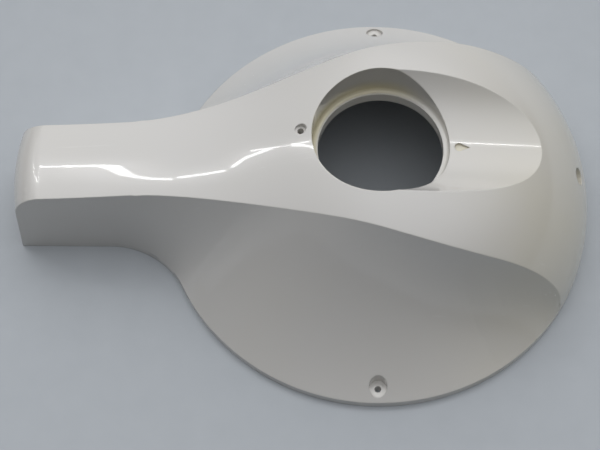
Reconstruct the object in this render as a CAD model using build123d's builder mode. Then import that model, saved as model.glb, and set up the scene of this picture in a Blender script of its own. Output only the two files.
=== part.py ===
"""Injection moulded housing: a round base with a raised hood that runs out into a hollow arm.

It is one moulding, so one node. X runs along the arm, which points to -X. Z is up, and the
origin is the axis of the round well on the plane of the base rim. The skin and the hollow under
it come from the same functions, called with no inset for the skin and with the wall for the core.
"""

import os
from math import atan2, comb, cos, degrees, hypot, radians, sin, sqrt, tan

from build123d import *

os.makedirs("parts", exist_ok=True)

# Base and arm, in mm and degrees
wall = 3.0                    # nominal wall of the moulding
draft = 3.0                   # draft of the arm's walls
base_radius = 140.0           # round base, at the rim
rim_height = 6.0              # upright lip round the base
neck_radius = 54.0            # concave corner between the arm and the round base
arm_length = 236.4            # well axis to the free end of the arm
arm_width = 59.4              # arm at the base plane
arm_end_bow = 3.0             # how far the free end bows out
arm_brow_radius = 20.0        # rounding between the arm's roof and its end

# Roof: a dome right of the well axis, and an arch swept along the crown line left of it
dome_height = 114.0           # top of the dome over the base plane
dome_flank = 0.70             # height of its profile's lower pole, over the dome's height
dome_brow = 0.46              # reach of its profile's upper pole, over the base radius
crown_margin = 8.6            # how far the crown line runs past the arm's end
crown_heights = (64.5, 60.5, 78.0, 60.0)   # heights of the crown line's poles over the arm

# Hood: its crease widens from the arm in an S, and a cove runs down from it to the rim
hood_width = 148.0            # over both creases, beside the dome
crease_start = -161.0         # where the crease leaves the arm
crease_end = 70.0             # where the hood has its full width
cove_slope = 33.0             # slope of the cove at the rim, beside the well
cove_knee = 58.0              # over this mean slope the cove turns less,
cove_fade = 25.0              # down to nothing this much higher
cove_lean = 20.0              # most that its head is steeper than its mean slope
cove_tightness = 0.2          # how much sharper it turns beside the full hood

# Well and trough
well_radius = 43.0            # round well in the top of the hood
ledge_height = 83.3           # ledge inside the well
ledge_fillet = 2.5            # corner between the well and its ledge
lip_radius = 39.2             # through hole inside the ledge
lip_depth = 8.0               # length of the through hole
trough_radius = 54.0          # round trough from the well over the dome
trough_floor = 86.3           # its floor where it leaves the well
trough_tilt = 4.2             # its fall towards +X
tear_x = 48.9                 # teardrop recess in the trough: middle of its round end
tear_radius = 2.8
tear_length = 9.5             # from the left of the round end to the tip
tear_depth = 1.6

# Screw recesses
rim_screw_inset = 9.0         # two rim screws, in from the rim
nose_inset = 11.0             # nose screw, in from the rim
head_recess = 11.5            # recess for a screw head
head_sink = 5.0               # its depth, at its middle
screw_hole = 4.2              # clearance hole for the screw
catch_x = -49.8               # small recess beside the well, a little off the middle line
catch_y = 4.0
catch_recess = 7.2
catch_sink = 3.0
catch_hole = 4.0
boss_wall = 2.5               # wall round each recess
boss_drop = 14.0              # how far the nose and catch bosses reach under their recess

# Stiffening inside
rib = 2.0                     # thickness of ribs and gussets
rib_depth = 14.0              # arm ribs, under the roof
rib_pitch = 32.0
rib_count = 3
first_rib = 30.0              # from the arm's end
gusset_count = 6              # round the well's tube
gusset_reach = 13.0           # outside the tube
gusset_foot = 6.0             # over the mouth of the through hole

# Derived sizes
clear = 20.0                  # how far a cutting solid runs past what it cuts
over = dome_height + clear
run_out = 0.25                # width of the cove where the crease meets the rim
overshoot = 6.0               # how far the cove's curve runs on past the crease
neck_steps = 5                # cove sections round the neck
cove_steps = 12               # cove sections along the round base
half_arm = arm_width / 2
half_hood = hood_width / 2
neck_y = half_arm + neck_radius
neck_x = -sqrt((base_radius + neck_radius) ** 2 - neck_y**2)
neck_angle = degrees(atan2(-neck_y, -neck_x))
crown_start = -arm_length - crown_margin
crown_poles = (*crown_heights, dome_height, dome_height)
crease_arm = half_arm - (crown_heights[1] - rim_height) * tan(radians(draft))
rim_angle = degrees(atan2(half_hood, sqrt(base_radius**2 - half_hood**2)))
rim_screw_radius = base_radius - rim_screw_inset
nose_radius = base_radius - nose_inset
lip_bottom = ledge_height - lip_depth
tube_radius = well_radius + wall


def ease(x, start, end):
    """A smooth step in x, from 0 at start to 1 at end."""
    t = min(1.0, max(0.0, (x - start) / (end - start)))
    return t * t * (3 - 2 * t)


def bezier(values, t):
    """One coordinate of a Bezier curve, from its poles' values."""
    last = len(values) - 1
    return sum(comb(last, i) * t**i * (1 - t) ** (last - i) * v for i, v in enumerate(values))


def dome_poles(inset=0.0):
    """Poles of the dome's profile, from the rim up to its top."""
    radius, height = base_radius - inset, dome_height - inset
    return (radius, 0), (radius, dome_flank * height), (dome_brow * radius, height), (0, height)


def dome_profile(reach):
    """Height of the dome's profile at a distance from its axis."""
    reaches, heights = zip(*dome_poles())
    low, high = 0.0, 1.0
    while high - low > run_out / base_radius**2:
        t = (low + high) / 2
        if bezier(reaches, t) > reach:
            low = t
        else:
            high = t
    return bezier(heights, low)


def crown_height(x):
    """Height of the crown line over x; its poles are evenly spaced in x."""
    return bezier(crown_poles, 1 - x / crown_start)


def roof_height(x, y):
    """Height of the outer roof."""
    if x >= 0:
        return dome_profile(hypot(x, y))
    return crown_height(x) - dome_height + dome_profile(abs(y))


def crease_y(x):
    """Half width of the hood at its crease."""
    return crease_arm + (half_hood - crease_arm) * ease(x, crease_start, crease_end)


def trough_height(x):
    """Height of the trough's floor over x."""
    return trough_floor - (x - well_radius) * tan(radians(trough_tilt))


def rim_stations():
    """Rim points, each with its inward direction, from the arm to the end of the crease."""
    for k in range(neck_steps):
        angle = radians(-90 + (90 + neck_angle) * k / neck_steps)
        c, s = cos(angle), sin(angle)
        yield neck_x + neck_radius * c, neck_y + neck_radius * s, c, s
    for k in range(cove_steps + 1):
        left = (1 - k / cove_steps) ** 1.5
        angle = radians(rim_angle + (180 + neck_angle - rim_angle) * left)
        c, s = cos(angle), sin(angle)
        yield base_radius * c, base_radius * s, -c, -s


def crease_reach(x, y, across, along):
    """Distance from a rim point to the crease, measured inwards over the base plane."""
    low, high = 0.0, base_radius
    while high - low > run_out / 100:
        reach = (low + high) / 2
        if y + reach * along > crease_y(x + reach * across):
            low = reach
        else:
            high = reach
    return low


def rim_lift(slope, inset):
    """Change in the height of the cove's foot where the wall's inset meets the rim's inset."""
    return inset * (sin(slope) - 1) / cos(slope)


def cove_section(inset, x, y, across, along):
    """Poles of the cove's curve in its section plane: distance inwards from the rim, height."""
    reach = max(run_out, crease_reach(x, y, across, along))
    rise = roof_height(x + reach * across, y + reach * along) - rim_height
    rise = max(rise, run_out / tan(radians(draft)))
    if x <= neck_x:
        foot = head = radians(90 - draft)
        reach = rise / tan(foot)
    else:
        mean = degrees(atan2(rise, reach))
        steep = min(1.0, max(0.0, (mean - cove_knee) / cove_fade))
        turn = (mean - cove_slope) * (1 - steep) ** 2 * ease(x, neck_x, 0)
        foot, head = radians(mean - turn), radians(mean + min(turn, cove_lean))
    start = (inset, rim_height + rim_lift(foot, inset))
    end = (
        reach + inset * sin(head) + overshoot * cos(head),
        rim_height + rise - inset * cos(head) + overshoot * sin(head),
    )
    chord = hypot(end[0] - start[0], end[1] - start[1])
    handle = chord / (3 * cos((head - foot) / 4) ** 2)
    handle *= 1 + cove_tightness * ease(x, 0, crease_end)
    return (
        start,
        (start[0] + handle * cos(foot), start[1] + handle * sin(foot)),
        (end[0] - handle * cos(head), end[1] - handle * sin(head)),
        end,
    )


def cove_cutter(inset):
    """What is cut away beside the hood on +Y, lofted through sections square to the rim."""
    with BuildPart() as cutter:
        for x, y, across, along in rim_stations():
            poles = cove_section(inset, x, y, across, along)
            lean = (poles[3][0] - poles[2][0]) / (poles[3][1] - poles[2][1])
            top = (poles[3][0] + (over - poles[3][1]) * lean, over)
            section = Plane(origin=(x, y, 0), x_dir=(across, along, 0), z_dir=(along, -across, 0))
            with BuildSketch(section):
                with BuildLine():
                    Bezier(*poles)
                    Polyline(poles[3], top, (-clear, over), (-clear, poles[0][1]), poles[0])
                make_face()
        loft()
    return cutter.part


def base_outline(inset):
    """Plan of the round base with the neck, cut off square where the arm begins."""
    side, round_neck = half_arm - inset, neck_radius + inset
    with BuildSketch() as outline:
        Circle(base_radius - inset)
        with BuildLine():
            ends = []
            for sign in (1, -1):
                places = []
                for angle in (-90, (neck_angle - 90) / 2, neck_angle):
                    c, s = cos(radians(angle)), sin(radians(angle))
                    places.append((neck_x + round_neck * c, sign * (neck_y + round_neck * s)))
                ends.append(ThreePointArc(*places))
            Line(ends[0] @ 0, ends[1] @ 0)
            Line(ends[0] @ 1, ends[1] @ 1)
        make_face()
    return outline.sketch


def arm_outline(inset):
    """Plan of the arm with its bowed end, run on past the neck so that it can be cut square."""
    end, side = inset - arm_length, half_arm - inset
    with BuildSketch() as outline:
        with BuildLine():
            bow = ThreePointArc((end + arm_end_bow, side), (end, 0), (end + arm_end_bow, -side))
            Polyline(bow @ 1, (neck_x + clear, -side), (neck_x + clear, side), bow @ 0)
        make_face()
    return outline.sketch


def roof(inset):
    """All that lies under the roof: half the dome, and its section swept along the crown line."""
    radius, height = base_radius - inset, dome_height - inset
    with BuildPart() as under:
        with BuildSketch(Plane.XZ):
            with BuildLine():
                Bezier(*dome_poles(inset))
                Polyline((0, height), (0, 0), (radius, 0))
            make_face()
        revolve(axis=Axis.Z)
        split(bisect_by=Plane.YZ)
        with BuildLine() as crown:
            step = crown_start / (len(crown_poles) - 1)
            Bezier(*[(i * step, 0, z - inset) for i, z in enumerate(reversed(crown_poles))])
        with BuildSketch(Plane.YZ) as arch:
            with BuildLine():
                Bezier(*dome_poles(inset))
                Polyline((0, height), (0, 0), (radius, 0))
            make_face()
            mirror(about=Plane.YZ)
        sweep(arch.sketch, path=crown.line, normal=(1, 0, 0))
    return under.part


def arm_form(inset, foot):
    """The arm as far as the neck: an upright lip, drafted walls over it and a rounded brow."""
    lip = rim_height + rim_lift(radians(90 - draft), inset)
    with BuildPart() as arm:
        with BuildSketch(Plane.XY.offset(foot)):
            add(arm_outline(inset))
        extrude(amount=lip - foot)
        with BuildSketch(Plane.XY.offset(lip)):
            add(arm_outline(inset))
        extrude(amount=over - lip, taper=draft)
        add(roof(inset), mode=Mode.INTERSECT)
        end_face = arm.faces().sort_by(Axis.X)[:2].sort_by(Axis.Z)[-1]
        fillet(end_face.edges().sort_by(Axis.Z)[-1], arm_brow_radius - inset)
        split(bisect_by=Plane.YZ.offset(neck_x), keep=Keep.BOTTOM)
    return arm.part


def mould_form(inset):
    """The outer form of the moulding, or its core when inset by the wall."""
    foot = -clear if inset else 0
    with BuildPart() as form:
        with BuildSketch(Plane.XY.offset(foot)):
            add(base_outline(inset))
        extrude(amount=over - foot)
        cutter = cove_cutter(inset)
        add(cutter, mode=Mode.SUBTRACT)
        add(cutter.mirror(Plane.XZ), mode=Mode.SUBTRACT)
        add(roof(inset), mode=Mode.INTERSECT)
        add(arm_form(inset, foot))
    return form.part


def trough(radius):
    """A tilted round bar that lies along the trough, from the well's axis to past the dome."""
    tilt = radians(trough_tilt)
    middle = trough_height(0) + radius / cos(tilt)
    end = Plane(origin=(0, 0, middle), x_dir=(0, 1, 0), z_dir=(cos(tilt), 0, -sin(tilt)))
    with BuildPart() as bar:
        with BuildSketch(end):
            Circle(radius)
        extrude(amount=base_radius)
    return bar.part


def screw_recesses():
    """Each recess: its plane at the mouth, its width, depth and hole, and its boss's length."""
    mouth = rim_height + rim_screw_inset * tan(radians(cove_slope))
    for side in (1, -1):
        seat = Plane(origin=(0, side * rim_screw_radius, mouth))
        yield seat, head_recess, head_sink, screw_hole, mouth
    fall = roof_height(nose_radius - wall, 0) - roof_height(nose_radius + wall, 0)
    seat = Plane(origin=(nose_radius, 0, roof_height(nose_radius, 0)), z_dir=(fall, 0, 2 * wall))
    yield seat, head_recess, head_sink, screw_hole, head_sink + boss_drop
    seat = Plane(origin=(catch_x, catch_y, roof_height(catch_x, catch_y)))
    yield seat, catch_recess, catch_sink, catch_hole, catch_sink + boss_drop


def upright(turn):
    """The upright plane through the well axis, turned from +X."""
    c, s = cos(radians(turn)), sin(radians(turn))
    return Plane(origin=(0, 0, 0), x_dir=(c, s, 0), z_dir=(s, -c, 0))


skin = mould_form(0)
core = mould_form(wall)

# The well's tube, the trough's floor, bosses, gussets and ribs, all ending half way into the wall
with BuildPart() as inside:
    with BuildSketch(Plane.XY.offset(ledge_height - wall)):
        Circle(tube_radius)
    extrude(amount=over - ledge_height)
    with BuildSketch(Plane.XY.offset(lip_bottom)):
        Circle(lip_radius + wall)
    extrude(amount=lip_depth)
    add(trough(trough_radius).moved(Location((0, 0, -wall))))
    for seat, recess, sink, hole, length in screw_recesses():
        with BuildSketch(seat.offset(clear)):
            Circle(recess / 2 + boss_wall)
        extrude(amount=-length - clear)
    for k in range(gusset_count):
        with BuildSketch(upright((k + 0.5) * 360 / gusset_count)):
            with BuildLine():
                Polyline(
                    (lip_radius + wall / 2, over),
                    (lip_radius + wall / 2, lip_bottom + gusset_foot),
                    (tube_radius + gusset_reach, ledge_height + gusset_reach),
                    (tube_radius + gusset_reach, over),
                    close=True,
                )
            make_face()
        extrude(amount=rib / 2, both=True)
    for k in range(rib_count):
        x = first_rib + k * rib_pitch - arm_length
        with BuildSketch(Plane.YZ.offset(x)):
            with Locations((0, crown_height(x) - wall - rib_depth)):
                Rectangle(arm_width, rib_depth + clear, align=(Align.CENTER, Align.MIN))
        extrude(amount=rib / 2, both=True)
    add(mould_form(wall / 2), mode=Mode.INTERSECT)

# The well's hollow, with a rounded corner at its ledge
with BuildPart() as well:
    with BuildSketch(Plane.XZ):
        with BuildLine():
            floor = Line((0, ledge_height), (well_radius - ledge_fillet, ledge_height))
            corner = TangentArc(floor @ 1, (well_radius, ledge_height + ledge_fillet), tangent=floor % 1)
            Polyline(corner @ 1, (well_radius, over), (0, over), (0, ledge_height))
        make_face()
    revolve(axis=Axis.Z)

with BuildPart() as housing:
    add(skin)
    add(core, mode=Mode.SUBTRACT)
    add(inside.part)
    add(well.part, mode=Mode.SUBTRACT)
    with BuildSketch(Plane.XY.offset(lip_bottom)):
        Circle(lip_radius)
    extrude(amount=lip_depth + wall, mode=Mode.SUBTRACT)
    add(trough(trough_radius), mode=Mode.SUBTRACT)
    for seat, recess, sink, hole, length in screw_recesses():
        with BuildSketch(seat.offset(clear)):
            Circle(recess / 2)
        extrude(amount=-clear - sink, mode=Mode.SUBTRACT)
        with BuildSketch(seat.offset(clear)):
            Circle(hole / 2)
        extrude(amount=-clear - length - wall, mode=Mode.SUBTRACT)
    with BuildSketch(Plane.XY.offset(trough_height(tear_x) - tear_depth)):
        with Locations((tear_x, 0)):
            Circle(tear_radius)
        with BuildLine():
            tip = (tear_x - tear_radius + tear_length, 0)
            Polyline(tip, (tear_x, tear_radius), (tear_x, -tear_radius), close=True)
        make_face()
    extrude(amount=clear, mode=Mode.SUBTRACT)

housing.part.label = "housing"
export_step(housing.part, "parts/housing.step")
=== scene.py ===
"""Dressed model of a glossy moulded housing: a round base, a raised hood and a hollow arm."""

from math import asin, comb, cos, pi, radians, sin, tan

import bmesh
import bpy
import numpy as np
from mathutils import Matrix, Vector
from mathutils.bvhtree import BVHTree


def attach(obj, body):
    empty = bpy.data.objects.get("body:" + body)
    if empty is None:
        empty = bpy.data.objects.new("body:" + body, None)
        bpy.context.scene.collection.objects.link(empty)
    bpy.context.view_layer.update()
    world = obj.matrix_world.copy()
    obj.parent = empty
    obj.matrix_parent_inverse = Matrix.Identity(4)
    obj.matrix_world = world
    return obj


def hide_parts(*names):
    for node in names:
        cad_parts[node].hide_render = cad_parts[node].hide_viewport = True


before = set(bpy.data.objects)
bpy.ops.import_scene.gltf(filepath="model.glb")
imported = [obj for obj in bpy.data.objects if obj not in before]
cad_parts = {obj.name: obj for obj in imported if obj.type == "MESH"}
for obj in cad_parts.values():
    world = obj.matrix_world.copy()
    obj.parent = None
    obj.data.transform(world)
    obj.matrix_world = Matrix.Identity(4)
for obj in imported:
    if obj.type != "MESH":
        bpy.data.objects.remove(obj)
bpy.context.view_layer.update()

MM = 0.001
BODY = "root"

# Sizes of the moulding that its surfaces and finish follow, in metres
BASE_RADIUS = 140 * MM
ARM_LENGTH = 236.4 * MM
DOME_HEIGHT = 114 * MM
DOME_FLANK, DOME_BROW = 0.70, 0.46           # shares at which the dome profile's poles stand
CROWN_START = -245 * MM                      # first pole of the crown line, past the arm's end
CROWN_POLES = (64.5 * MM, 60.5 * MM, 78 * MM, 60 * MM, DOME_HEIGHT, DOME_HEIGHT)
ARM_CREASE = 26.56 * MM                      # half width of the arm at its crease
HOOD_CREASE = 74 * MM                        # half width of the hood at its crease
CREASE_START, CREASE_END = -161 * MM, 70 * MM
RIM_HEIGHT = 6 * MM
WELL_RADIUS = 43 * MM
TROUGH_RADIUS, TROUGH_FLOOR = 54 * MM, 86.3 * MM
TROUGH_TILT = radians(4.2)
NECK_RADIUS, NECK_CENTRE = 54 * MM, (-175.02 * MM, 83.7 * MM)
COVE_SLOPE, COVE_LEAN = 33, 20               # degrees: at the rim, and most that its head leans
COVE_KNEE, COVE_FADE = 58, 25                # degrees: turns less past the knee, over the fade
COVE_TIGHTNESS = 0.2                         # how much sharper it turns beside the full hood
LEAST_REACH, LEAST_RISE = 0.25 * MM, 4.8 * MM  # of the cove, where it runs out
OVERSHOOT = 6 * MM                           # how far its sheet runs on past the crease
BROW_START = -212 * MM                       # the rounded end of the arm is left of this
EDGE_ROUND = 1.1 * MM                        # how round the moulded edges look

# How finely the profile, the crown line and the cove are worked out
PROFILE_POINTS, CROWN_POINTS = 4001, 2001
NECK_STATIONS, BASE_STATIONS = 60, 340       # along the rim
PROBE_POINTS = 2801                          # inwards from each station, to find the crease
SHEET_STEPS = 90                             # inwards from each station, over the cove
LOWEST_COVE = 0.9 * RIM_HEIGHT               # nothing of the cove is lower than this,
INMOST_COVE = 0.7 * ARM_CREASE               # or nearer to the middle line than this
NO_LENGTH = 1e-9                             # keeps a division by a length from failing

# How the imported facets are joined, split and smoothed. A rule is a surface of the moulding that
# is worked out here: the roof, a cove or the trough.
SAME_CORNER = 0.002 * MM         # corners nearer than this are one
NO_EDGE = 0.001 * MM             # and edges shorter than this are none
FAR = 1.0                        # the step to a rule that a point is nowhere near, in metres
COVE_SEARCH = 1 * MM             # a point further than this from the cove is nowhere near it
CORNER_SPREAD = 0.01 * MM        # how far the normal of one corner of the sheet holds by itself
ON_RULE = 0.35 * MM              # a face this near to a rule's surface,
ALONG_RULE = cos(radians(14))    # and this much along it, is part of it
EVEN_PASSES = 5                  # rounds of spacing its corners evenly on the rules
SMOOTH_ANGLE = radians(26)       # elsewhere, edges sharper than this stay edges
NORMAL_STEPS = 500               # corners whose normals agree to one step share one normal
OFF_FACE = 0.3 * MM              # where the look upwards from a face starts

# Ejector pin pads under the cover: a row along the arm and a ring round the base
PIN_RADIUS = 3.0 * MM
PIN_PROUD = 0.25 * MM
ARM_PINS, ARM_PIN_INSET, ARM_PIN_PITCH = 4, 22 * MM, 32 * MM
RING_PINS, RING_RADIUS = 12, 112 * MM

# Where the plastic has aged most, as where that starts and where it ends
NOSE_AGED = (20 * MM, 130 * MM)              # towards the nose of the hood
LEDGE_AGED = (WELL_RADIUS - 3.5 * MM, WELL_RADIUS - 2.0 * MM)   # outwards over the ledge
WELL_EDGE = (WELL_RADIUS, WELL_RADIUS + 1.2 * MM)               # outwards past the well's wall
WALL_AGED = (86 * MM, 97 * MM)               # up the well's wall
SIDE_AGED = (5 * MM, 30 * MM)                # across the well, away from the arm
# Where the teardrop recess gets painted shade in the aged colour: its middle and its reach along
# and across, then how far below the trough's floor that shade starts and ends
TEAR_MIDDLE, TEAR_REACH = 50.85 * MM, (5.2 * MM, 3.2 * MM)      # of the teardrop recess
TEAR_TOP = (0.1 * MM, 0.5 * MM)              # down from the trough's floor
TEAR_FOOT = (2.2 * MM, 2.5 * MM)

DUST = (0.62, 0.60, 0.55, 1)
SCUFF = (0.9, 0.9, 0.88, 1)
SCUFF_SHARE = 0.35                           # how far a scratch pales towards the scuff's colour
# How much rougher each mark makes the surface
SMUDGE_ROUGH, SCRATCH_ROUGH, SPECK_ROUGH = 0.10, 0.25, 0.4


# ---------------------------------------------------------------- node helpers


class Maker:
    """Adds nodes to a tree, with their inputs set from values or linked from sockets."""

    def __init__(self, tree):
        self.tree = tree

    def add(self, kind, inputs=(), **settings):
        node = self.tree.nodes.new(kind)
        for name, value in settings.items():
            setattr(node, name, value)
        for key, value in dict(inputs).items():
            socket = node.inputs[key]
            if isinstance(value, bpy.types.NodeSocket):
                self.tree.links.new(value, socket)
            else:
                socket.default_value = value
        return node

    def math(self, operation, a, b=0.0, c=0.0, clamp=False):
        """The result of one sum on up to three values."""
        ends = {0: a, 1: b, 2: c}
        return self.add("ShaderNodeMath", ends, operation=operation, use_clamp=clamp).outputs[0]

    def ramp(self, value, low, high, bottom=0.0, top=1.0):
        """A smooth step from bottom, where the value is low, to top, where it is high."""
        ends = {"Value": value, "From Min": low, "From Max": high, "To Min": bottom, "To Max": top}
        node = self.add("ShaderNodeMapRange", ends, interpolation_type="SMOOTHSTEP")
        return node.outputs["Result"]

    def mix(self, share, a, b):
        """Colour a with this share of colour b."""
        return self.add("ShaderNodeMix", {"Factor": share, 6: a, 7: b}, data_type="RGBA").outputs[2]


def new_group(name, kind, inputs, outputs):
    """A node group with named inputs and outputs, its maker, and its two end nodes."""
    tree = bpy.data.node_groups.new(name, kind)
    for label, socket, value in inputs:
        made = tree.interface.new_socket(label, in_out="INPUT", socket_type=socket)
        if value is not None:
            made.default_value = value
    for label, socket in outputs:
        tree.interface.new_socket(label, in_out="OUTPUT", socket_type=socket)
    return tree, Maker(tree), tree.nodes.new("NodeGroupInput"), tree.nodes.new("NodeGroupOutput")


FLOAT, WHOLE = "NodeSocketFloat", "NodeSocketInt"
VECTOR, COLOR = "NodeSocketVector", "NodeSocketColor"


# ---------------------------------------------------------------- effects shared by the finishes


def moulded_skin():
    """Height of a moulded surface: a slow waviness and a fine grain, each with its own size."""
    tree, make, start, end = new_group(
        "moulded skin",
        "ShaderNodeTree",
        [("Place", VECTOR, None), ("Wave Size", FLOAT, 20.0), ("Wave Height", FLOAT, 1.0),
         ("Grain Size", FLOAT, 900.0), ("Grain Height", FLOAT, 0.1)],
        [("Height", FLOAT)],
    )
    place = start.outputs["Place"]
    wave = make.add(
        "ShaderNodeTexNoise", {"Vector": place, "Scale": start.outputs["Wave Size"], "Detail": 1.0}
    )
    grain = make.add(
        "ShaderNodeTexNoise", {"Vector": place, "Scale": start.outputs["Grain Size"], "Detail": 3.0}
    )
    slow = make.math("MULTIPLY", wave.outputs["Fac"], start.outputs["Wave Height"])
    total = make.math("MULTIPLY_ADD", grain.outputs["Fac"], start.outputs["Grain Height"], slow)
    tree.links.new(total, end.inputs["Height"])
    return tree


def handling_marks():
    """Masks of use: hairline scratches in two directions, dust specks and greasy patches."""
    tree, make, start, end = new_group(
        "handling marks",
        "ShaderNodeTree",
        [("Place", VECTOR, None), ("Scratches", FLOAT, 0.5), ("Specks", FLOAT, 0.5),
         ("Smudges", FLOAT, 0.5)],
        [("Scratch", FLOAT), ("Speck", FLOAT), ("Smudge", FLOAT)],
    )
    place = start.outputs["Place"]
    hairs = None
    for turn, stretch in ((0.5, 6.0), (-0.9, 9.0)):
        turned = make.add(
            "ShaderNodeMapping",
            {"Vector": place, "Rotation": (0.3, 0.2, turn), "Scale": (stretch, 420.0, 90.0)},
        )
        noise = make.add(
            "ShaderNodeTexNoise", {"Vector": turned.outputs[0], "Scale": 1.0, "Detail": 2.0}
        )
        hair = make.ramp(noise.outputs["Fac"], 0.70, 0.76)
        hairs = hair if hairs is None else make.math("MAXIMUM", hairs, hair)
    where = make.add("ShaderNodeTexNoise", {"Vector": place, "Scale": 14.0, "Detail": 1.0})
    kept = make.ramp(where.outputs["Fac"], 0.48, 0.66)
    scratch = make.math("MULTIPLY", make.math("MULTIPLY", hairs, kept), start.outputs["Scratches"])
    cells = make.add("ShaderNodeTexVoronoi", {"Vector": place, "Scale": 170.0, "Randomness": 1.0})
    dot = make.ramp(cells.outputs["Distance"], 0.04, 0.10, 1.0, 0.0)
    chosen = make.add("ShaderNodeSeparateColor", {"Color": cells.outputs["Color"]})
    rare = make.ramp(chosen.outputs[0], 0.80, 0.86)
    speck = make.math("MULTIPLY", make.math("MULTIPLY", dot, rare), start.outputs["Specks"])
    patch = make.add(
        "ShaderNodeTexNoise", {"Vector": place, "Scale": 26.0, "Detail": 4.0, "Roughness": 0.6}
    )
    greasy = make.ramp(patch.outputs["Fac"], 0.45, 0.75)
    smudge = make.math("MULTIPLY", greasy, start.outputs["Smudges"])
    tree.links.new(scratch, end.inputs["Scratch"])
    tree.links.new(speck, end.inputs["Speck"])
    tree.links.new(smudge, end.inputs["Smudge"])
    return tree


def aged_white_and_recess_shade():
    """Colour of aged white plastic, warmer towards the nose of the hood and at the foot of the well
    on the arm's side, with painted shade in the teardrop recess in the aged colour."""
    tree, make, start, end = new_group(
        "aged white and recess shade",
        "ShaderNodeTree",
        [("Place", VECTOR, None), ("Fresh", COLOR, (0.8, 0.8, 0.78, 1)),
         ("Aged And Shade", COLOR, (0.7, 0.66, 0.5, 1)), ("Amount", FLOAT, 1.0)],
        [("Color", COLOR)],
    )
    place = start.outputs["Place"]
    parts = make.add("ShaderNodeSeparateXYZ", {"Vector": place})
    x, y, z = (parts.outputs[axis] for axis in "XYZ")
    nose = make.ramp(x, *NOSE_AGED, 0.12, 0.60)
    flat = make.add("ShaderNodeVectorMath", {0: place, 1: (1.0, 1.0, 0.0)}, operation="MULTIPLY")
    from_axis = make.add("ShaderNodeVectorMath", {0: flat.outputs[0]}, operation="LENGTH")
    reach = from_axis.outputs["Value"]
    in_well = make.ramp(reach, *LEDGE_AGED, 0.4, 1.5)
    fades = ((reach, WELL_EDGE, 0.0), (z, WALL_AGED, 0.25), (x, SIDE_AGED, 0.15))
    for where, limits, rest in fades:
        in_well = make.math("MULTIPLY", in_well, make.ramp(where, *limits, 1.0, rest))
    # Painted shade: the teardrop recess under the trough's floor is darkened towards the aged
    # colour
    fall = tan(TROUGH_TILT)
    floor = make.math("MULTIPLY_ADD", x, -fall, TROUGH_FLOOR + WELL_RADIUS * fall)
    depth = make.math("SUBTRACT", floor, z)
    tear_shade = make.math(
        "MULTIPLY", make.ramp(depth, *TEAR_TOP, 0.0, 0.9), make.ramp(depth, *TEAR_FOOT, 1.0, 0.0)
    )
    across = make.math("ABSOLUTE", y)
    along = make.math("ABSOLUTE", make.math("SUBTRACT", x, TEAR_MIDDLE))
    for away, edge in zip((along, across), TEAR_REACH):
        tear_shade = make.math("MULTIPLY", tear_shade, make.ramp(away, edge, edge + MM, 1.0, 0.0))
    cloud = make.add("ShaderNodeTexNoise", {"Vector": place, "Scale": 9.0, "Detail": 3.0})
    uneven = make.ramp(cloud.outputs["Fac"], 0.3, 0.7, 0.55, 1.25)
    share = make.math("MULTIPLY", make.math("MAXIMUM", nose, in_well), uneven)
    # the painted shade of the teardrop recess joins the aged tint
    share = make.math("MAXIMUM", share, tear_shade)
    share = make.math("MULTIPLY", share, start.outputs["Amount"], clamp=True)
    colour = make.mix(share, start.outputs["Fresh"], start.outputs["Aged And Shade"])
    tree.links.new(colour, end.inputs["Color"])
    return tree


def plastic(name, fresh, aged, amount, gloss, coat, marks, skin):
    """A finish of the white plastic, with its own values for the shared effects."""
    material = bpy.data.materials.new(name)
    material.use_nodes = True
    tree = material.node_tree
    tree.nodes.clear()
    make = Maker(tree)
    place = make.add("ShaderNodeTexCoord").outputs["Object"]
    colour, wear, face = (make.add("ShaderNodeGroup", node_tree=effect) for effect in EFFECTS)
    for group, values in (
        (colour, {"Fresh": fresh, "Aged And Shade": aged, "Amount": amount}), (wear, marks), (face, skin)
    ):
        tree.links.new(place, group.inputs["Place"])
        for key, value in values.items():
            group.inputs[key].default_value = value
    speck, scratch, smudge = (wear.outputs[mark] for mark in ("Speck", "Scratch", "Smudge"))
    dusty = make.mix(speck, colour.outputs["Color"], DUST)
    scuffed = make.mix(make.math("MULTIPLY", scratch, SCUFF_SHARE), dusty, SCUFF)
    rough = make.math("MULTIPLY_ADD", smudge, SMUDGE_ROUGH, gloss)
    rough = make.math("MULTIPLY_ADD", scratch, SCRATCH_ROUGH, rough)
    rough = make.math("MULTIPLY_ADD", speck, SPECK_ROUGH, rough, clamp=True)
    edges = make.add("ShaderNodeBevel", {"Radius": EDGE_ROUND}, samples=6)
    bump = make.add(
        "ShaderNodeBump",
        {"Strength": 1.0, "Distance": MM, "Height": face.outputs["Height"],
         "Normal": edges.outputs[0]},
    )
    shader = make.add(
        "ShaderNodeBsdfPrincipled",
        {
            "Base Color": scuffed,
            "Roughness": rough,
            "Normal": bump.outputs[0],
            "IOR": 1.5,
            "Coat Weight": coat,
            "Coat Roughness": 0.02,
        },
    )
    out = make.add("ShaderNodeOutputMaterial", {"Surface": shader.outputs[0]})
    out.is_active_output = True
    material.diffuse_color = fresh
    return material


# ---------------------------------------------------------------- the moulding


def merged_copy(name, node):
    """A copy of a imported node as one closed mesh, its corners joined."""
    mesh = node.data.copy()
    mesh.name = name
    mesh.materials.clear()
    skin = bmesh.new()
    skin.from_mesh(mesh)
    bmesh.ops.remove_doubles(skin, verts=skin.verts, dist=SAME_CORNER)
    bmesh.ops.dissolve_degenerate(skin, dist=NO_EDGE, edges=skin.edges)
    skin.to_mesh(mesh)
    skin.free()
    for layer in list(mesh.uv_layers):
        mesh.uv_layers.remove(layer)
    piece = bpy.data.objects.new(name, mesh)
    bpy.context.scene.collection.objects.link(piece)
    return piece


def bezier(values, t):
    """One coordinate of a Bezier curve, from its poles' values."""
    last = len(values) - 1
    return sum(comb(last, i) * t**i * (1 - t) ** (last - i) * v for i, v in enumerate(values))


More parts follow.
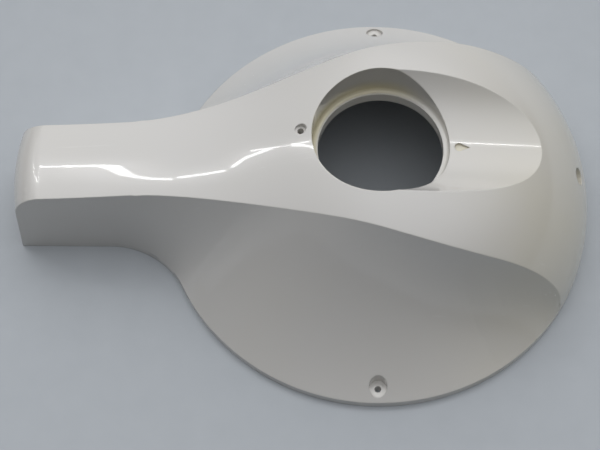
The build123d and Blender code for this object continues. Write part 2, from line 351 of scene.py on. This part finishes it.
def roof_rule(points):
    """Height and normal of the roof over these points: a dome right of the well's axis, and left
    of it the dome's section carried along the crown line."""
    t = np.linspace(1, 0, PROFILE_POINTS)
    reach = bezier((BASE_RADIUS, BASE_RADIUS, DOME_BROW * BASE_RADIUS, 0), t)
    height = bezier((0, DOME_FLANK * DOME_HEIGHT, DOME_HEIGHT, DOME_HEIGHT), t)
    lean = np.arctan2(-np.gradient(height), np.gradient(reach))
    x, y = points[:, 0], points[:, 1]
    dome = x >= 0
    away = np.where(dome, np.hypot(x, y), np.abs(y)) + NO_LENGTH
    line = np.linspace(CROWN_START, 0, CROWN_POINTS)
    crown = bezier(CROWN_POLES, 1 - line / CROWN_START)
    rise = np.interp(x, line, crown) - DOME_HEIGHT
    climb = np.where(dome, 0, np.interp(x, line, np.gradient(crown, line)))
    tilt = np.interp(away, reach, lean)
    out = np.column_stack([np.where(dome, x, 0) / away, y / away, np.zeros(len(x))])
    normal = out * np.sin(tilt)[:, None] + np.outer(np.cos(tilt), (0, 0, 1))
    normal[:, 0] -= climb * np.cos(tilt)
    normal /= np.linalg.norm(normal, axis=1, keepdims=True)
    return np.interp(away, reach, height) + np.where(dome, 0, rise), normal


def on_roof(points):
    """The step from each point to the roof, and the roof's normal there."""
    height, normal = roof_rule(points)
    step = normal * ((height - points[:, 2]) * normal[:, 2])[:, None]
    step[points[:, 0] < BROW_START] = FAR
    return step, normal


def on_trough(points):
    """The step from each point to the trough's round floor, and the floor's normal there."""
    middle = TROUGH_FLOOR + WELL_RADIUS * tan(TROUGH_TILT) + TROUGH_RADIUS / cos(TROUGH_TILT)
    run = np.array([cos(TROUGH_TILT), 0.0, -sin(TROUGH_TILT)])
    spoke = points - np.array([0.0, 0.0, middle])
    spoke -= np.outer(spoke @ run, run)
    reach = np.linalg.norm(spoke, axis=1)[:, None] + NO_LENGTH
    step = spoke * (TROUGH_RADIUS / reach - 1)
    step[points[:, 0] < 0] = FAR
    return step, -spoke / reach


def ease(x, start, end):
    """A smooth step in x, from 0 at start to 1 at end."""
    t = np.clip((x - start) / (end - start), 0, 1)
    return t * t * (3 - 2 * t)


def rim_line():
    """Points of the base rim beside the hood, and the way inwards from each, from arm to nose."""
    bend = asin(NECK_CENTRE[1] / (BASE_RADIUS + NECK_RADIUS))
    neck = np.linspace(-pi / 2, -bend, NECK_STATIONS, endpoint=False)
    base = np.linspace(pi - bend, asin(HOOD_CREASE / BASE_RADIUS), BASE_STATIONS)
    way = np.concatenate([np.column_stack([np.cos(neck), np.sin(neck)]),
                          -np.column_stack([np.cos(base), np.sin(base)])])
    place = np.concatenate([np.array(NECK_CENTRE) + NECK_RADIUS * way[: len(neck)],
                            -BASE_RADIUS * way[len(neck):]])
    return place, way


def cove_sheet():
    """Grid of points on the cove, from the rim inwards and up past the crease, on +Y."""
    rim, way = rim_line()
    probe = np.linspace(0, BASE_RADIUS, PROBE_POINTS)
    x = rim[:, :1] + way[:, :1] * probe
    y = rim[:, 1:] + way[:, 1:] * probe
    crease = ARM_CREASE + (HOOD_CREASE - ARM_CREASE) * ease(x, CREASE_START, CREASE_END)
    reach = np.maximum(probe[np.argmin(y > crease, axis=1)], LEAST_REACH)
    ends = np.column_stack([rim + way * reach[:, None], np.zeros(len(rim))])
    rise = np.maximum(roof_rule(ends)[0] - RIM_HEIGHT, LEAST_RISE)
    mean = np.degrees(np.arctan2(rise, reach))
    steep = np.clip((mean - COVE_KNEE) / COVE_FADE, 0, 1)
    turn = (mean - COVE_SLOPE) * (1 - steep) ** 2 * ease(rim[:, 0], NECK_CENTRE[0], 0)
    foot, head = np.radians(mean - turn), np.radians(mean + np.minimum(turn, COVE_LEAN))
    far = reach + OVERSHOOT * np.cos(head)
    high = RIM_HEIGHT + rise + OVERSHOOT * np.sin(head)
    handle = np.hypot(far, high - RIM_HEIGHT) / (3 * np.cos((head - foot) / 4) ** 2)
    handle *= 1 + COVE_TIGHTNESS * ease(rim[:, 0], 0, CREASE_END)
    t = np.linspace(0, 1, SHEET_STEPS)[None, :]
    inwards = bezier([v[:, None] for v in
                      (far * 0, handle * np.cos(foot), far - handle * np.cos(head), far)], t)
    upwards = bezier([v[:, None] for v in
                      (far * 0 + RIM_HEIGHT, RIM_HEIGHT + handle * np.sin(foot),
                       high - handle * np.sin(head), high)], t)
    flat = [rim[:, k:k + 1] + way[:, k:k + 1] * inwards for k in (0, 1)]
    return np.stack([*flat, upwards], 2)


def on_cove(points):
    """The step from each point to the cove on its side, and the cove's normal there."""
    sheet = cove_sheet()
    rows, columns = sheet.shape[:2]
    lean = np.cross(np.gradient(sheet, axis=0), np.gradient(sheet, axis=1))
    lean *= np.sign(lean[..., 2:])
    lean = (lean / np.linalg.norm(lean, axis=2, keepdims=True)).reshape(-1, 3)
    flat = sheet.reshape(-1, 3)
    index = np.arange(rows * columns).reshape(rows, columns)
    cells = np.stack([index[:-1, :-1], index[1:, :-1], index[1:, 1:], index[:-1, 1:]], 2)
    cells = cells.reshape(-1, 4)
    tree = BVHTree.FromPolygons(flat.tolist(), cells.tolist())
    side = np.where(points[:, 1] < 0, -1.0, 1.0)
    step, normal = np.full(points.shape, FAR), np.tile((0.0, 0.0, 1.0), (len(points), 1))
    maybe = (points[:, 2] > LOWEST_COVE) & (np.abs(points[:, 1]) > INMOST_COVE)
    for k in np.flatnonzero(maybe):
        point = points[k] * (1, side[k], 1)
        found = tree.find_nearest(point, COVE_SEARCH)
        if found[0] is None:
            continue
        corners = cells[found[2]]
        near = 1 / (np.linalg.norm(flat[corners] - found[0], axis=1) + CORNER_SPREAD) ** 2
        step[k] = found[0] - Vector(point)
        normal[k] = (lean[corners] * near[:, None]).sum(0)
    step[:, 1] *= side
    normal[:, 1] *= side
    return step, normal / np.linalg.norm(normal, axis=1, keepdims=True)


RULES = (on_roof, on_cove, on_trough)


def read(items, name, width=1, kind=float):
    """One property of all items, as rows."""
    values = np.empty(len(items) * width, kind)
    items.foreach_get(name, values)
    return values.reshape(-1, width) if width > 1 else values


def families(mesh):
    """For each face, the number of the rule it lies on, from 1, or 0 for none."""
    centre, faced = read(mesh.polygons, "center", 3), read(mesh.polygons, "normal", 3)
    family = np.zeros(len(centre), int)
    for number, rule in enumerate(RULES, 1):
        step, along = rule(centre)
        near = np.linalg.norm(step, axis=1) < ON_RULE
        family[(family == 0) & near & ((faced * along).sum(1) > ALONG_RULE)] = number
    return family


def refine(mesh):
    """Splits each facet that lies on a rule into four, and puts the corners on the rule, so that
    the outline and the creases run as smoothly as the moulding's."""
    skin = bmesh.new()
    skin.from_mesh(mesh)
    kind = skin.faces.layers.int.new("kind")
    for face, number in zip(skin.faces, families(mesh)):
        face[kind] = number
    inside = [e for e in skin.edges if all(f[kind] for f in e.link_faces)]
    bmesh.ops.subdivide_edges(skin, edges=inside, cuts=1)
    bmesh.ops.triangulate(skin, faces=[f for f in skin.faces if len(f.verts) > 3])
    ruled = [v for v in skin.verts if all(f[kind] for f in v.link_faces)]
    kinds = [{f[kind] for f in v.link_faces} for v in ruled]
    open_field = [v for v, own in zip(ruled, kinds) if len(own) == 1]
    for _ in range(EVEN_PASSES):
        bmesh.ops.smooth_vert(
            skin, verts=open_field, factor=0.5, use_axis_x=True, use_axis_y=True, use_axis_z=True
        )
        place = np.array([v.co for v in ruled])
        for number, rule in enumerate(RULES, 1):
            chosen = np.array([number in own for own in kinds])
            step = rule(place[chosen])[0]
            step[np.linalg.norm(step, axis=1) > ON_RULE] = 0
            place[chosen] += step
        place[:, 1] = place[:, 1].clip(-BASE_RADIUS, BASE_RADIUS)
        for vertex, spot in zip(ruled, place):
            vertex.co = spot
    skin.faces.layers.int.remove(kind)
    skin.to_mesh(mesh)
    skin.free()


def calm_normals(mesh):
    """Gives the roof, the coves and the trough the normals of their rules, and the rest the mean
    of its faces between the sharp edges, so that gloss runs smoothly over the facets."""
    mesh.polygons.foreach_set("use_smooth", [True] * len(mesh.polygons))
    faced, family = read(mesh.polygons, "normal", 3), families(mesh)
    edge_of = read(mesh.loops, "edge_index", kind=int)
    either_side = (np.argsort(edge_of, kind="stable") // 3).reshape(-1, 2)
    one, other = either_side.T
    apart = (faced[one] * faced[other]).sum(1) < cos(SMOOTH_ANGLE)
    apart |= (family[one] > 0) & (family[other] > 0) & (family[one] != family[other])
    sharp = mesh.attributes.get("sharp_edge")
    sharp = sharp or mesh.attributes.new("sharp_edge", "BOOLEAN", "EDGE")
    sharp.data.foreach_set("value", apart)
    mesh.update()
    normals = read(mesh.corner_normals, "vector", 3)
    vertex = read(mesh.loops, "vertex_index", kind=int)
    keys = np.column_stack([vertex, np.round(normals * NORMAL_STEPS).astype(int)])
    _, fan = np.unique(keys, axis=0, return_inverse=True)
    fan = fan.reshape(-1)
    total = np.zeros((fan.max() + 1, 3))
    np.add.at(total, fan, np.repeat(faced * read(mesh.polygons, "area")[:, None], 3, axis=0))
    place = read(mesh.vertices, "co", 3)[vertex]
    for number, rule in enumerate(RULES, 1):
        corners = np.flatnonzero(np.repeat(family == number, 3))
        step, along = rule(place[corners])
        near = np.linalg.norm(step, axis=1) < ON_RULE
        total[fan[corners[near]]] = along[near]
    smooth = total / np.linalg.norm(total, axis=1, keepdims=True)
    mesh.normals_split_custom_set(smooth[fan].tolist())


def under_cover(mesh):
    """Which faces are inside: those from which the way up meets the moulding."""
    tree = BVHTree.FromPolygons(
        [v.co for v in mesh.vertices], [p.vertices for p in mesh.polygons]
    )
    up = Vector((0, 0, 1))
    starts = (p.center + p.normal * OFF_FACE for p in mesh.polygons)
    return [tree.ray_cast(start, up)[0] is not None for start in starts]


def ejector_pads():
    """Round pads that the ejector pins leave under the cover: along the arm and round the base."""
    tree, make, start, end = new_group(
        "ejector pads",
        "GeometryNodeTree",
        [("Cover", "NodeSocketObject", None), ("Arm Start", FLOAT, 0.0), ("Arm Step", FLOAT, 0.05),
         ("Arm Pads", WHOLE, 4), ("Ring Radius", FLOAT, 0.1), ("Ring Pads", WHOLE, 8),
         ("Pad Radius", FLOAT, 0.003), ("Proud", FLOAT, 0.0003),
         ("Finish", "NodeSocketMaterial", None)],
        [("Pads", "NodeSocketGeometry")],
    )
    row_start = make.add("ShaderNodeCombineXYZ", {"X": start.outputs["Arm Start"]})
    row_step = make.add("ShaderNodeCombineXYZ", {"X": start.outputs["Arm Step"]})
    row = make.add(
        "GeometryNodeMeshLine",
        {"Count": start.outputs["Arm Pads"], "Start Location": row_start.outputs[0],
         "Offset": row_step.outputs[0]},
    )
    ring = make.add(
        "GeometryNodeMeshCircle",
        {"Vertices": start.outputs["Ring Pads"], "Radius": start.outputs["Ring Radius"]},
    )
    both = make.add("GeometryNodeJoinGeometry")
    tree.links.new(row.outputs[0], both.inputs[0])
    tree.links.new(ring.outputs[0], both.inputs[0])
    cover = make.add("GeometryNodeObjectInfo", {"Object": start.outputs["Cover"]})
    cast = make.add(
        "GeometryNodeRaycast",
        {"Target Geometry": cover.outputs["Geometry"], "Ray Direction": (0, 0, 1),
         "Ray Length": 2 * DOME_HEIGHT},
    )
    missed = make.add("FunctionNodeBooleanMath", {0: cast.outputs["Is Hit"]}, operation="NOT")
    spots = make.add(
        "GeometryNodeDeleteGeometry", {"Geometry": both.outputs[0], "Selection": missed.outputs[0]}
    )
    facing = make.add("GeometryNodeCaptureAttribute", {"Geometry": spots.outputs[0]})
    facing.capture_items.new("VECTOR", "Facing")
    tree.links.new(cast.outputs["Hit Normal"], facing.inputs["Facing"])
    set_down = make.add(
        "GeometryNodeSetPosition",
        {"Geometry": facing.outputs["Geometry"], "Position": cast.outputs["Hit Position"]},
    )
    square = make.add(
        "FunctionNodeAlignRotationToVector", {"Vector": facing.outputs["Facing"]}, axis="Z"
    )
    depth = make.math("MULTIPLY", start.outputs["Proud"], 2.0)
    pad = make.add(
        "GeometryNodeMeshCylinder",
        {"Vertices": 20, "Radius": start.outputs["Pad Radius"], "Depth": depth},
    )
    placed = make.add(
        "GeometryNodeInstanceOnPoints",
        {"Points": set_down.outputs[0], "Instance": pad.outputs[0], "Rotation": square.outputs[0]},
    )
    real = make.add("GeometryNodeRealizeInstances", {"Geometry": placed.outputs[0]})
    dressed = make.add(
        "GeometryNodeSetMaterial",
        {"Geometry": real.outputs[0], "Material": start.outputs["Finish"]},
    )
    tree.links.new(dressed.outputs[0], end.inputs["Pads"])
    return tree


def built(name, tree, values):
    """The plain mesh that a tree makes with these named values."""
    holder = bpy.data.objects.new(name, bpy.data.meshes.new(name))
    bpy.context.scene.collection.objects.link(holder)
    nodes = holder.modifiers.new(name, "NODES")
    nodes.node_group = tree
    for item in tree.interface.items_tree:
        if item.item_type == "SOCKET" and item.in_out == "INPUT" and item.name in values:
            nodes[item.identifier] = values[item.name]
    bpy.context.view_layer.update()
    seen = holder.evaluated_get(bpy.context.evaluated_depsgraph_get())
    made = bpy.data.meshes.new_from_object(seen)
    holder.modifiers.remove(nodes)
    holder.data = made
    made.name = name
    return holder


EFFECTS = (aged_white_and_recess_shade(), handling_marks(), moulded_skin())
polished = plastic(
    "polished white plastic",
    # the aged colour also paints the shade in the teardrop recess
    fresh=(0.70, 0.685, 0.665, 1), aged=(0.70, 0.64, 0.43, 1), amount=0.60,
    gloss=0.16, coat=0.6,
    marks={"Scratches": 0.35, "Specks": 0.5, "Smudges": 0.5},
    skin={"Wave Size": 28.0, "Wave Height": 0.05, "Grain Size": 1400.0, "Grain Height": 0.0015},
)
dull = plastic(
    "dull inner plastic",
    fresh=(0.66, 0.655, 0.63, 1), aged=(0.62, 0.58, 0.46, 1), amount=0.5,
    gloss=0.45, coat=0.0,
    marks={"Scratches": 0.2, "Specks": 0.3, "Smudges": 0.6},
    skin={"Wave Size": 60.0, "Wave Height": 0.05, "Grain Size": 1500.0, "Grain Height": 0.02},
)

housing = merged_copy("moulded_housing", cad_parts["housing"])
refine(housing.data)
inner = under_cover(housing.data)
calm_normals(housing.data)
housing.data.materials.append(polished)
housing.data.materials.append(dull)
housing.data.polygons.foreach_set("material_index", [int(face) for face in inner])

pads = built(
    "ejector_pads",
    ejector_pads(),
    {"Cover": housing, "Arm Start": -ARM_LENGTH + ARM_PIN_INSET, "Arm Step": ARM_PIN_PITCH,
     "Arm Pads": ARM_PINS, "Ring Radius": RING_RADIUS, "Ring Pads": RING_PINS,
     "Pad Radius": PIN_RADIUS, "Proud": PIN_PROUD, "Finish": dull},
)

for piece in (housing, pads):
    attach(piece, BODY)
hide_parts("housing")


# ---------------------------------------------------------------- floor, light and camera


FLOOR_SIZE = 6
FLOOR_TONES = ((0.43, 0.46, 0.49, 1), (0.47, 0.50, 0.53, 1))
SKY_COLOR = (0.97, 0.98, 1.0, 1)
SKY_BRIGHTEST = Vector((0.04, 0.33, 0.943))      # the way to the brightest part of the sky
SKY_SPREAD, SKY_STRENGTH = (0.35, 1.0), (0.04, 1.46)       # how it fades away from there
BACK_SPREAD, BACK_STRENGTH = (0.55, 0.95), (0.0, 0.42)     # a low glow behind the housing
TUBE_WIDTH = 0.032
TUBE_HEIGHT = 1.85
TUBE_POWER = 2.05                                # watts for each metre
TUBE_RUNS = (                                    # corners of each row of lamps, seen from above
    ((-0.55, 0.83), (-0.845, 0.875), (-0.865, 0.67), (-0.93, 0.613), (-1.03, 0.603)),
    ((-1.06, 0.625), (-1.42, 0.75)),
    ((-1.474, 0.804), (-1.60, 0.995), (-1.765, 1.153)),
    ((-1.79, 1.183), (-1.66, 1.148)),
    ((0.35, 0.745), (0.75, 0.765)),
)


def floor_finish():
    """A pale matt table top, faintly mottled."""
    material = bpy.data.materials.new("pale table")
    material.use_nodes = True
    make = Maker(material.node_tree)
    shader = material.node_tree.nodes["Principled BSDF"]
    place = make.add("ShaderNodeTexCoord").outputs["Object"]
    grain = make.add("ShaderNodeTexNoise", {"Vector": place, "Scale": 60.0, "Detail": 4.0})
    tone = make.mix(grain.outputs["Fac"], *FLOOR_TONES)
    material.node_tree.links.new(tone, shader.inputs["Base Color"])
    shader.inputs["Roughness"].default_value = 0.5
    return material


def tube(start, end, power):
    """A thin lamp that hangs level from start to end and lights downwards."""
    start, end = Vector(start), Vector(end)
    light = bpy.data.lights.new("tube", "AREA")
    light.shape = "RECTANGLE"
    light.size, light.size_y = (end - start).length, TUBE_WIDTH
    light.energy = power * light.size
    lamp = bpy.data.objects.new("tube", light)
    bpy.context.scene.collection.objects.link(lamp)
    along = (end - start).normalized()
    axes = Matrix((along, Vector((0, 0, 1)).cross(along), Vector((0, 0, 1)))).transposed()
    lamp.matrix_world = Matrix.Translation((start + end) / 2) @ axes.to_4x4()


for run in TUBE_RUNS:
    for near, far in zip(run, run[1:]):
        tube((*near, TUBE_HEIGHT), (*far, TUBE_HEIGHT), TUBE_POWER)

bpy.ops.mesh.primitive_plane_add(size=FLOOR_SIZE)
floor = bpy.context.object
floor.name = "floor"
floor.data.materials.append(floor_finish())

world = bpy.data.worlds.new("studio")
bpy.context.scene.world = world
world.use_nodes = True
sky = world.node_tree.nodes["Background"]
make = Maker(world.node_tree)
ahead = make.add("ShaderNodeTexCoord").outputs["Generated"]
towards = make.add(
    "ShaderNodeVectorMath", {0: ahead, 1: SKY_BRIGHTEST}, operation="DOT_PRODUCT"
)
behind = make.add("ShaderNodeSeparateXYZ", {"Vector": ahead}).outputs["Y"]
glow = make.math(
    "MAXIMUM",
    make.ramp(towards.outputs["Value"], *SKY_SPREAD, *SKY_STRENGTH),
    make.ramp(behind, *BACK_SPREAD, *BACK_STRENGTH),
)
world.node_tree.links.new(glow, sky.inputs["Strength"])
sky.inputs["Color"].default_value = SKY_COLOR


def aimed_camera(pitch, yaw, roll, place, lens):
    """A camera looking down by pitch, turned by yaw about Z and tilted by roll."""
    ahead = Vector((0, cos(pitch), -sin(pitch)))
    over = Vector((0, sin(pitch), cos(pitch)))
    side = Vector((1, 0, 0))
    right = side * cos(roll) + over * sin(roll)
    up = over * cos(roll) - side * sin(roll)
    turn = Matrix.Rotation(yaw, 3, "Z")
    camera = bpy.data.objects.new("camera", bpy.data.cameras.new("camera"))
    bpy.context.scene.collection.objects.link(camera)
    axes = Matrix((turn @ right, turn @ up, turn @ -ahead)).transposed()
    camera.matrix_world = Matrix.Translation(place) @ axes.to_4x4()
    camera.data.lens = lens
    camera.data.sensor_width = 36
    return camera


bpy.context.scene.camera = aimed_camera(
    pitch=radians(63.882), yaw=radians(1.131), roll=radians(-0.554),
    place=(-0.0409, -0.4938, 0.9814), lens=98.46,
)
bpy.context.scene.view_settings.view_transform = "Standard"
